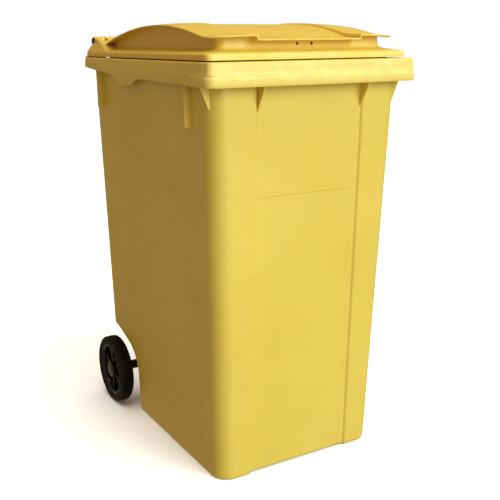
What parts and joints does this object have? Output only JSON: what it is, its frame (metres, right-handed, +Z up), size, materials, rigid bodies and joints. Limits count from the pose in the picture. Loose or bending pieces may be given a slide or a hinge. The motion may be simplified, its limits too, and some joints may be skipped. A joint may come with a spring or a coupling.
{
  "type": "two-wheeled waste bin",
  "caption": "Upright wheeled waste bin: tapered hollow body, deep rim with a lifting skirt, domed lid hinged at the back, rear handle bar, and wheels that turn on a low steel axle.",
  "frame": {"origin": "bottom centre of the bounding box: on the ground, on the plane of symmetry, halfway between the rim's front face and the back of the wheels", "axes": "+Z up, +X to the bin's right as seen from its front, +Y towards the handle and wheels"},
  "size_m": [0.576, 0.779, 1.108],
  "materials": {
    "bin_plastic": "fine moulded texture, satin",
    "lid_plastic": "fine moulded texture, satin",
    "black_plastic": "satin",
    "wheel_plastic": "moulded, satin",
    "cap_plastic": "smooth",
    "tyre_rubber": "matt rubber",
    "axle_steel": "dark coated, slightly rusty",
    "plated_steel": "dull zinc plate",
    "spring_steel": "drawn wire"
  },
  "bodies": {
    "bin": {"body": "bin_plastic", "foot": "bin_plastic", "hand_recess": "bin_plastic", "rim": "bin_plastic", "handle_bar": "bin_plastic", "bracket_outer_left": "bin_plastic", "bracket_outer_right": "bin_plastic", "bracket_inner_left": "bin_plastic", "bracket_inner_right": "bin_plastic", "axle_support_left": "bin_plastic", "axle_support_right": "bin_plastic", "axle": "axle_steel", "spacer_sleeve_left": "black_plastic", "spacer_sleeve_right": "black_plastic", "axle_washer_left": "plated_steel", "axle_washer_right": "plated_steel"},
    "lid": {"lid": "lid_plastic", "hinge_pin_left": "black_plastic", "hinge_pin_right": "black_plastic"},
    "wheel_left": {"wheel_hub_left": "wheel_plastic", "tyre_left": "tyre_rubber", "hub_cap_left": "cap_plastic", "locking_spring_left": "spring_steel", "spring_plug_left": "black_plastic"},
    "lock_left": {"locking_pin_left": "plated_steel"},
    "wheel_right": {"wheel_hub_right": "wheel_plastic", "tyre_right": "tyre_rubber", "hub_cap_right": "cap_plastic", "locking_spring_right": "spring_steel", "spring_plug_right": "black_plastic"},
    "lock_right": {"locking_pin_right": "plated_steel"}
  },
  "joints": [
    {"name": "lid_hinge", "type": "hinge", "parent": "bin", "child": "lid", "pos_m": [0, 0.3555, 1.065], "axis": [-1, 0, 0], "range_deg": [0, 240]},
    {"name": "wheel_left_spin", "type": "hinge", "parent": "bin", "child": "wheel_left", "pos_m": [-0.263, 0.2895, 0.1], "axis": [1, 0, 0], "continuous": true},
    {"name": "lock_left_slide", "type": "slide", "parent": "wheel_left", "child": "lock_left", "axis": [0, 0, 1], "range_m": [0, 0.003], "stiffness_N_per_m": 600, "springref_m": -0.002, "deforming": ["locking_spring_left"]},
    {"name": "wheel_right_spin", "type": "hinge", "parent": "bin", "child": "wheel_right", "pos_m": [0.263, 0.2895, 0.1], "axis": [1, 0, 0], "continuous": true},
    {"name": "lock_right_slide", "type": "slide", "parent": "wheel_right", "child": "lock_right", "axis": [0, 0, 1], "range_m": [0, 0.003], "stiffness_N_per_m": 600, "springref_m": -0.002, "deforming": ["locking_spring_right"]}
  ]
}
